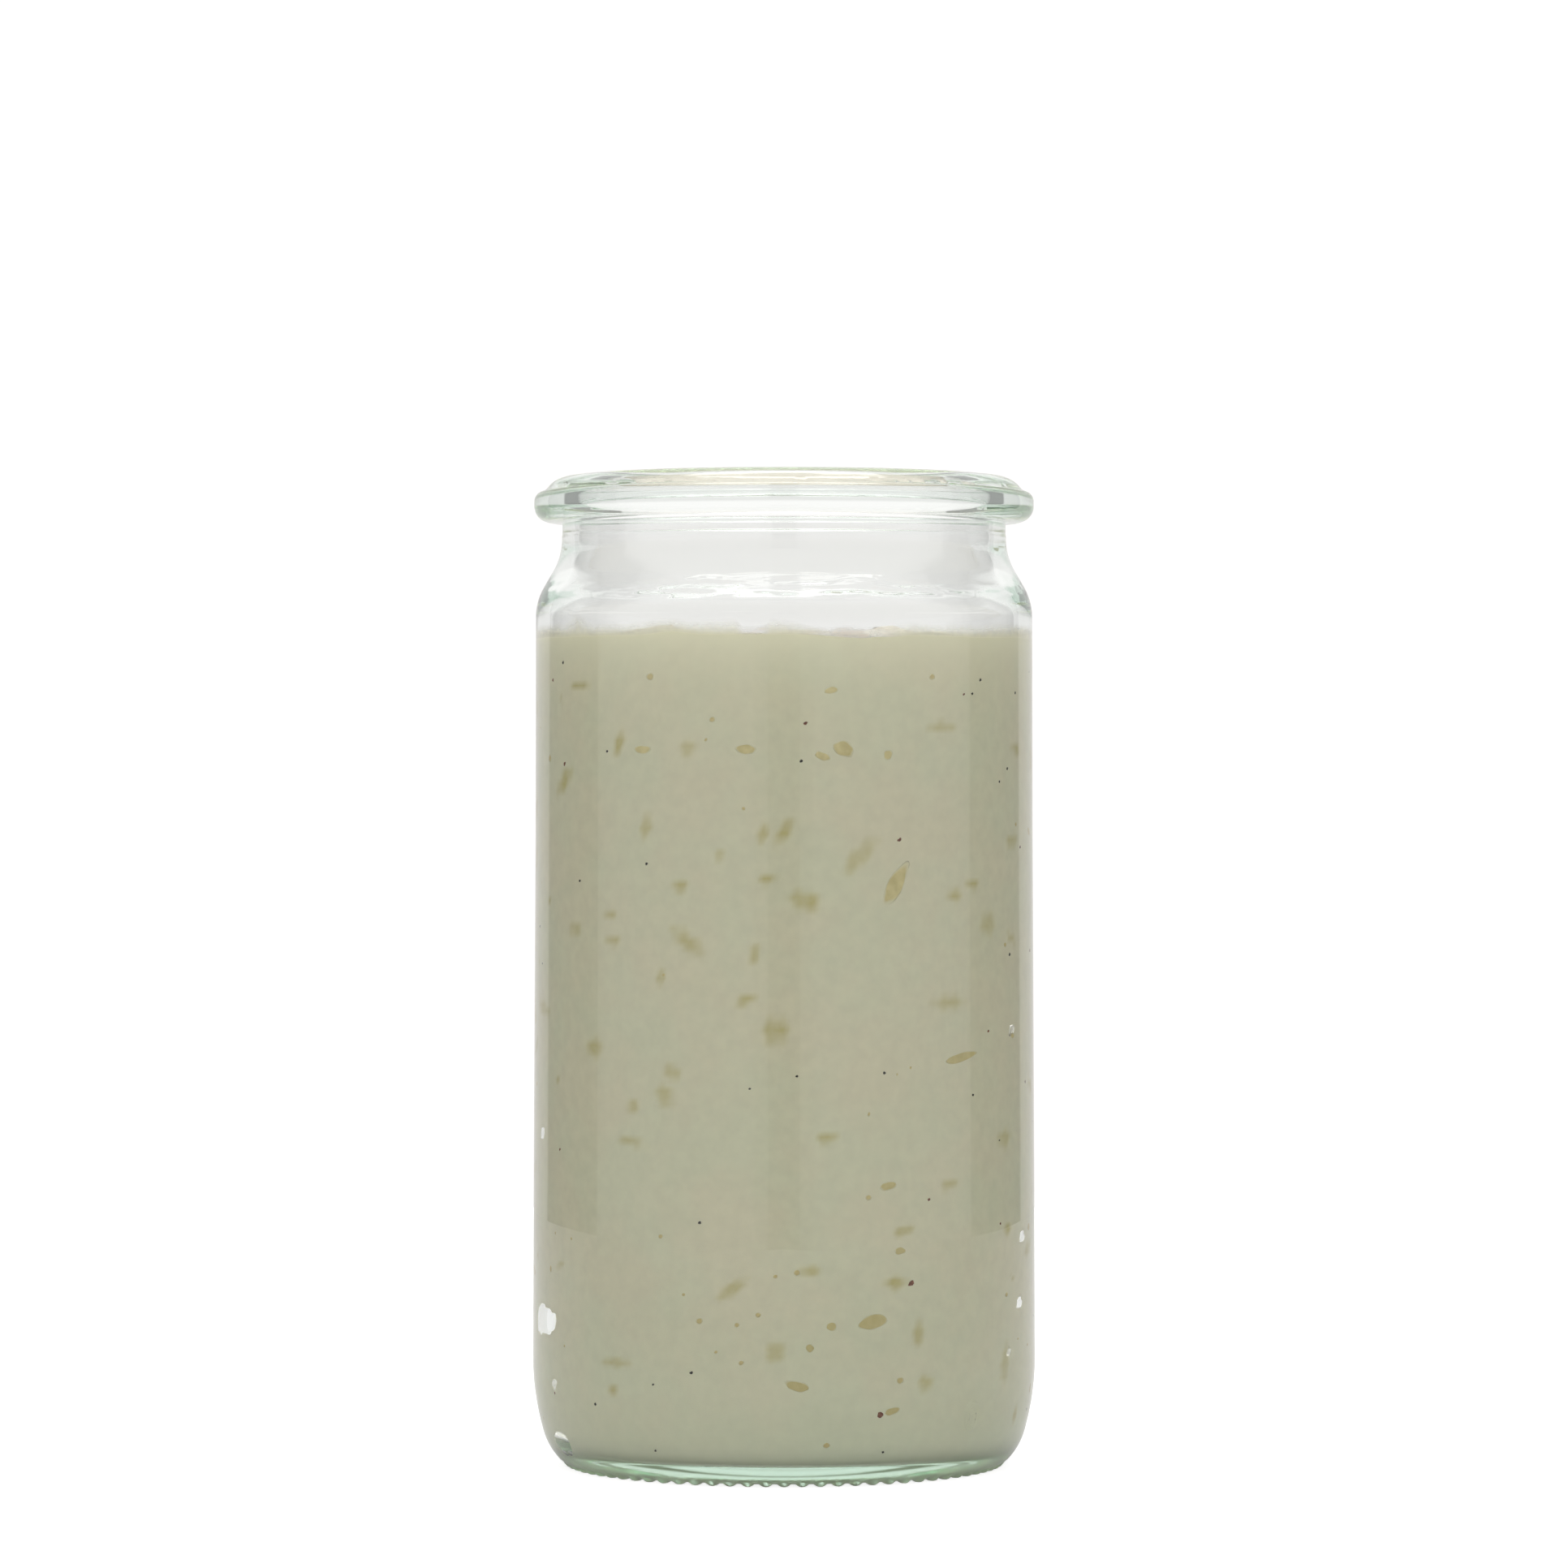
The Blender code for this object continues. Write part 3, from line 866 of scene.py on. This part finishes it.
def make_film():
    """The thin smear that the dressing leaves on the glass, which fades out above its level."""
    rows = []
    cover = []
    for i in range(FILM_ROWS_BELOW + FILM_ROWS_ABOVE + 1):
        below = max(0, FILM_ROWS_BELOW - i) / FILM_ROWS_BELOW
        above = max(0, i - FILM_ROWS_BELOW) / FILM_ROWS_ABOVE

        def shape(angle, radius, height, below=below, above=above):
            z = edge_height(angle) - FILM_OVERLAP * below + film_top(angle) * above
            return CUP_RADIUS + SMEAR_INTO_WALL + inner_ripple(angle, z), z

        rows.append(ring(CUP_RADIUS, DRESSING_LEVEL, DRESSING_COLUMNS, shape))
        cover += [smooth(2.0 * (1.0 - below)) * (1.0 - above) ** 1.4] * DRESSING_COLUMNS
    piece = turned_mesh("dressing_smear", rows)
    froth = [froth_at(math.atan2(vertex.co.y, vertex.co.x))[0] for vertex in piece.data.vertices]
    store(piece.data, "cover", cover)
    store(piece.data, "froth", froth)
    return piece


# ================================================================ materials

class Tree:
    """A node tree, with short ways to add to it."""

    def __init__(self, tree):
        self.tree = tree

    def add(self, kind, **values):
        node = self.tree.nodes.new(kind)
        for name, value in values.items():
            setattr(node, name, value)
        return node

    def put(self, value, socket):
        """Link an output to the socket, or set the socket to a plain value."""
        if isinstance(value, bpy.types.NodeSocket):
            self.tree.links.new(value, socket)
        else:
            socket.default_value = value

    def maths(self, operation, *values):
        node = self.add("ShaderNodeMath", operation=operation)
        for value, socket in zip(values, node.inputs):
            self.put(value, socket)
        return node.outputs[0]

    def scale(self, value, low, high, to_low=0.0, to_high=1.0, kind="LINEAR"):
        """The value moved from one range to another, and kept within it."""
        node = self.add("ShaderNodeMapRange", interpolation_type=kind)
        self.put(value, node.inputs["Value"])
        for name, number in (("From Min", low), ("From Max", high), ("To Min", to_low), ("To Max", to_high)):
            node.inputs[name].default_value = number
        return node.outputs["Result"]

    def parts(self, vector):
        """The X, Y and Z of a vector."""
        node = self.add("ShaderNodeSeparateXYZ")
        self.put(vector, node.inputs[0])
        return node.outputs

    def seen_by_camera(self):
        return self.add("ShaderNodeLightPath").outputs["Is Camera Ray"]


class Nodes(Tree):
    """A material's node tree."""

    def __init__(self, name):
        self.material = bpy.data.materials.new(name)
        self.material.use_nodes = True
        super().__init__(self.material.node_tree)

    def set(self, name, value):
        self.put(value, self.tree.nodes["Principled BSDF"].inputs[name])

    def colour(self, colour):
        node = self.add("ShaderNodeRGB")
        node.outputs[0].default_value = (*colour, 1.0)
        return node.outputs[0]

    def grey(self, level):
        return self.colour((level, level, level))

    def blend(self, amount, first, second):
        node = self.add("ShaderNodeMix", data_type="RGBA")
        self.put(amount, node.inputs["Factor"])
        self.put(first, node.inputs[6])
        self.put(second, node.inputs[7])
        return node.outputs[2]

    def place(self):
        return self.add("ShaderNodeTexCoord").outputs["Object"]

    def noise(self, size, detail=2.0, roughness=0.5, flatness=1.0):
        """Noise with features of about this size in metres, and this many times flatter than wide."""
        flat = self.add("ShaderNodeVectorMath", operation="MULTIPLY")
        self.put(self.place(), flat.inputs[0])
        flat.inputs[1].default_value = (1.0, 1.0, flatness)
        node = self.add("ShaderNodeTexNoise")
        self.put(flat.outputs[0], node.inputs["Vector"])
        node.inputs["Scale"].default_value = 1.0 / size
        node.inputs["Detail"].default_value = detail
        node.inputs["Roughness"].default_value = roughness
        return node.outputs["Fac"]

    def attribute(self, name):
        return self.add("ShaderNodeAttribute", attribute_name=name).outputs["Fac"]


def glass_material():
    nodes = Nodes("green_tinted_glass")
    nodes.set("Base Color", (1.0, 1.0, 1.0, 1.0))
    nodes.set("Roughness", 0.0)
    nodes.set("IOR", GLASS_IOR)
    nodes.set("Transmission Weight", 1.0)
    absorb = nodes.add("ShaderNodeVolumeAbsorption")
    absorb.inputs["Color"].default_value = (*GLASS_TINT, 1.0)
    absorb.inputs["Density"].default_value = GLASS_TINT_DENSITY
    nodes.put(absorb.outputs["Volume"], nodes.tree.nodes["Material Output"].inputs["Volume"])
    return nodes.material


def cream(nodes):
    """The dressing's colour: its own beige and greenish patches, greener near the foot, painted light near
    its level over a creamier tone, and a dark green painted shade along its lower edge at the floor.
    """
    patches = nodes.scale(nodes.noise(11 * MM, 3.0, 0.55), 0.38, 0.62)
    colour = nodes.blend(patches, nodes.colour(CREAM_BEIGE), nodes.colour(CREAM_GREENISH))
    grain = nodes.scale(nodes.noise(1.6 * MM, 2.0), 0.3, 0.7, -0.03, 0.03)
    bright = nodes.add("ShaderNodeHueSaturation")
    nodes.put(colour, bright.inputs["Color"])
    nodes.put(nodes.maths("ADD", 1.0, grain), bright.inputs["Value"])
    colour = bright.outputs["Color"]
    height = nodes.parts(nodes.place())["Z"]
    below_level = nodes.maths("SUBTRACT", DRESSING_LEVEL, height)
    above_floor = nodes.maths("SUBTRACT", height, FLOOR_EDGE_HEIGHT)
    # Painted light below the level, a greener tone near the foot, and painted shade at the floor's edge,
    # each fading with distance
    for distance, reach, tint in ((below_level, PAINTED_LIGHT_DEPTH, CREAM_AND_PAINTED_LIGHT_NEAR_TOP),
                                  (height, NEAR_FOOT_HEIGHT, CREAM_NEAR_FOOT),
                                  (above_floor, PAINTED_SHADE_HEIGHT, PAINTED_SHADE_AT_FLOOR)):
        share = nodes.maths("EXPONENT", nodes.maths("DIVIDE", distance, -reach))
        colour = nodes.blend(share, colour, nodes.colour(tint))
    return colour


def dressing_behind_glass():
    """The dressing where it wets the wall; it bends light a little less than glass does."""
    nodes = Nodes("dressing_behind_glass")
    ragged = nodes.scale(nodes.noise(1.8 * MM, 3.0), 0.3, 0.7, 0.65, 1.15)
    amount = nodes.maths("MULTIPLY", nodes.attribute("stain"), ragged)
    stained = nodes.blend(amount, cream(nodes), nodes.colour(STAIN_COLOUR))
    nodes.set("Base Color", nodes.blend(nodes.attribute("froth"), stained, nodes.colour(WALL_FROTH_COLOUR)))
    nodes.set("IOR", nodes.scale(nodes.noise(5 * MM), 0.3, 0.7, *DRESSING_IOR_IN_GLASS))
    nodes.set("Roughness", 0.04)
    return nodes.material


def dressing_open_top():
    """The drier, paler top of the dressing, with froth at the wall."""
    nodes = Nodes("dressing_open_top")
    patches = nodes.scale(nodes.noise(4 * MM, 3.0), 0.35, 0.65)
    colour = nodes.blend(patches, nodes.colour(OPEN_TOP_DARK), nodes.colour(OPEN_TOP_LIGHT))
    nodes.set("Base Color", nodes.blend(nodes.attribute("froth"), colour, nodes.colour(OPEN_TOP_FROTH)))
    nodes.set("IOR", 1.40)
    nodes.set("Roughness", 0.35)
    return nodes.material


def flake_material(name, deep, pale, edge):
    """A bit of onion: see-through looking in the middle, and fading into the cream at its rim."""
    nodes = Nodes(name)
    uneven = nodes.scale(nodes.noise(1.2 * MM), 0.3, 0.7, 0.4, 1.4)
    tone = nodes.maths("MULTIPLY", nodes.attribute("tone"), uneven)
    own = nodes.blend(tone, nodes.colour(deep), nodes.colour(pale))
    inward = nodes.scale(nodes.attribute("middle"), 0.0, edge)
    nodes.set("Base Color", nodes.blend(inward, cream(nodes), own))
    nodes.set("Roughness", 0.4)
    nodes.set("Specular IOR Level", 0.0)
    return nodes.material


def grain_material(name, dark, light):
    nodes = Nodes(name)
    spots = nodes.scale(nodes.noise(0.25 * MM), 0.35, 0.65)
    nodes.set("Base Color", nodes.blend(spots, nodes.colour(dark), nodes.colour(light)))
    nodes.set("Roughness", 0.5)
    nodes.set("Specular IOR Level", 0.0)
    return nodes.material


def film_material():
    """A smear that fades upward; where it's froth, it's a paler, half clear skin whose crumples are painted,
    with painted shade in the creases.
    """
    nodes = Nodes("thin_smear")
    froth = nodes.attribute("froth")
    cover = nodes.attribute("cover")
    patchy = nodes.scale(nodes.noise(0.9 * MM, 3.0), 0.3, 0.7, -0.08, 0.08)
    half_covered = nodes.maths("MULTIPLY", cover, nodes.maths("SUBTRACT", 1.0, cover))
    uneven = nodes.maths("MULTIPLY", nodes.maths("MULTIPLY", patchy, half_covered), 4.0)
    smear = nodes.scale(nodes.maths("ADD", cover, uneven), 0.0, 0.97)
    # Crumples painted by noise: painted shade and more cover in the creases, paler and clearer between them
    crumple = nodes.scale(nodes.noise(3.0 * MM, 2.0, 0.6, 3.5), 0.36, 0.60)
    edge = nodes.scale(cover, 0.0, 0.18)
    skin = nodes.maths("MULTIPLY", edge, nodes.scale(crumple, 0.0, 1.0, 0.55, 0.22))
    frothy = nodes.maths("MULTIPLY", froth, skin)
    plain = nodes.maths("MULTIPLY", nodes.maths("SUBTRACT", 1.0, froth), smear)
    nodes.set("Alpha", nodes.maths("ADD", frothy, plain))
    froth_colour = nodes.blend(crumple, nodes.colour(FROTH_PAINTED_CREASE_SHADE), nodes.colour(FROTH_PALE))
    nodes.set("Base Color", nodes.blend(froth, nodes.colour(SMEAR_COLOUR), froth_colour))
    nodes.set("Roughness", 0.5)
    nodes.set("Specular IOR Level", 0.0)
    return nodes.material


def floor_material():
    """White acrylic, lit from below where the camera sees it, so that shadows on it stay faint."""
    nodes = Nodes("white_table")
    seen = nodes.seen_by_camera()
    nodes.set("Emission Strength", nodes.scale(seen, 0.0, 1.0, TABLE_GLOW, SEEN_TABLE_GLOW))
    nodes.set("Emission Color", (1.0, 1.0, 1.0, 1.0))
    distance = nodes.add("ShaderNodeVectorMath", operation="LENGTH")
    nodes.put(nodes.place(), distance.inputs[0])
    outward = nodes.scale(distance.outputs["Value"], TABLE_FADE_START, TABLE_RADIUS)
    towards_front = nodes.scale(nodes.parts(nodes.place())["Y"], 0.0, -TABLE_FADE_START)
    edge = nodes.blend(towards_front, nodes.grey(TABLE_EDGE_GREY), nodes.grey(TABLE_FRONT_GREY))
    lit = nodes.blend(outward, nodes.grey(TABLE_MIDDLE_GREY), edge)
    nodes.set("Base Color", nodes.blend(seen, lit, nodes.grey(SEEN_TABLE_GREY)))
    nodes.set("Roughness", 0.8)
    nodes.set("Specular IOR Level", 0.1)
    return nodes.material


# ================================================================ the studio

def make_floor():
    mesh = bmesh.new()
    bmesh.ops.create_circle(mesh, cap_ends=True, segments=180, radius=TABLE_RADIUS)
    floor = linked_piece("table", mesh)
    floor.data.materials.append(floor_material())


class Sky(Tree):
    """The studio's light, by direction."""

    def __init__(self):
        world = bpy.data.worlds.new("studio")
        bpy.context.scene.world = world
        world.use_nodes = True
        super().__init__(world.node_tree)
        direction = self.parts(self.add("ShaderNodeTexCoord").outputs["Generated"])
        self.rise = direction["Z"]
        aside = self.maths("ABSOLUTE", direction["X"])
        self.turn = self.maths("DIVIDE", self.maths("ARCTAN2", aside, direction["Y"]), math.pi)

    def band(self, stops):
        """Brightness all round, from (degrees from straight behind, brightness) stops."""
        node = self.add("ShaderNodeValToRGB")
        self.put(self.turn, node.inputs["Fac"])
        elements = node.color_ramp.elements
        while len(elements) < len(stops):
            elements.new(1.0)
        for element, (degrees, level) in zip(elements, stops):
            element.position = degrees / 180
            element.color = (level / BRIGHTEST, level / BRIGHTEST, level / BRIGHTEST, 1.0)
        return self.maths("MULTIPLY", node.outputs["Color"], BRIGHTEST)

    def above(self, low, high, under, over):
        """One light below an elevation and another above it, with a soft change between them."""
        start, end = math.sin(math.radians(low)), math.sin(math.radians(high))
        return self.mixed(self.scale(self.rise, start, end, kind="SMOOTHSTEP"), under, over)

    def mixed(self, amount, first, second):
        node = self.add("ShaderNodeMix", data_type="FLOAT")
        for value, name in ((amount, "Factor"), (first, "A"), (second, "B")):
            self.put(value, node.inputs[name])
        return node.outputs["Result"]


def make_world():
    sky = Sky()
    light = sky.band(LOW_LIGHT)
    for low, high, stops in LIGHT_BANDS:
        light = sky.above(low, high, light, sky.band(stops))
    light = sky.above(*TOP_LIGHT_ELEVATIONS, light, TOP_LIGHT)
    background = sky.tree.nodes["Background"]
    sky.put(sky.mixed(sky.seen_by_camera(), light, BACKDROP_LIGHT), background.inputs["Strength"])
    background.inputs["Color"].default_value = (*LIGHT_COLOUR, 1.0)


def make_camera():
    data = bpy.data.cameras.new("camera")
    data.sensor_width = SENSOR_WIDTH
    data.lens = FOCAL_PIXELS / FRAME_PIXELS * SENSOR_WIDTH
    data.clip_start = 0.01
    camera = bpy.data.objects.new("camera", data)
    camera.location = (0.0, -CAMERA_DISTANCE, CAMERA_HEIGHT)
    camera.rotation_euler = (math.pi / 2, 0.0, 0.0)
    bpy.context.scene.collection.objects.link(camera)
    bpy.context.scene.camera = camera


def set_up_render():
    scene = bpy.context.scene
    scene.view_settings.view_transform = "Standard"
    scene.cycles.max_bounces = 32
    scene.cycles.transmission_bounces = 24
    scene.cycles.glossy_bounces = 24
    scene.cycles.diffuse_bounces = 4
    scene.cycles.transparent_max_bounces = 16
    scene.cycles.sample_clamp_indirect = 8.0


def dress(piece, slot, *materials):
    for material in materials:
        piece.data.materials.append(material)
    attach(piece, "root")


def main():
    set_up_render()
    make_camera()
    make_world()
    make_floor()
    glass = make_glass()
    dress(glass, "jar_glass", glass_material())
    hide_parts("jar_glass")
    dressing = make_dressing()
    dress(dressing, "dressing", dressing_behind_glass(), dressing_open_top())
    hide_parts("dressing")
    onion = flake_material("onion", ONION_DEEP, ONION_PALE, edge=0.16)
    dress(make_onion(), "dressing", onion)
    crumb = flake_material("onion_crumb", CRUMB_DEEP, CRUMB_PALE, edge=0.3)
    dress(make_crumbs(), "dressing", crumb)
    black = grain_material("black_pepper", PEPPER_DARK, PEPPER_LIGHT)
    dress(make_black_grains(), "dressing", black)
    red = grain_material("red_pepper", RED_PEPPER_DARK, RED_PEPPER_LIGHT)
    dress(make_red_grains(), "dressing", red)
    dress(make_film(), "dressing", film_material())


main()
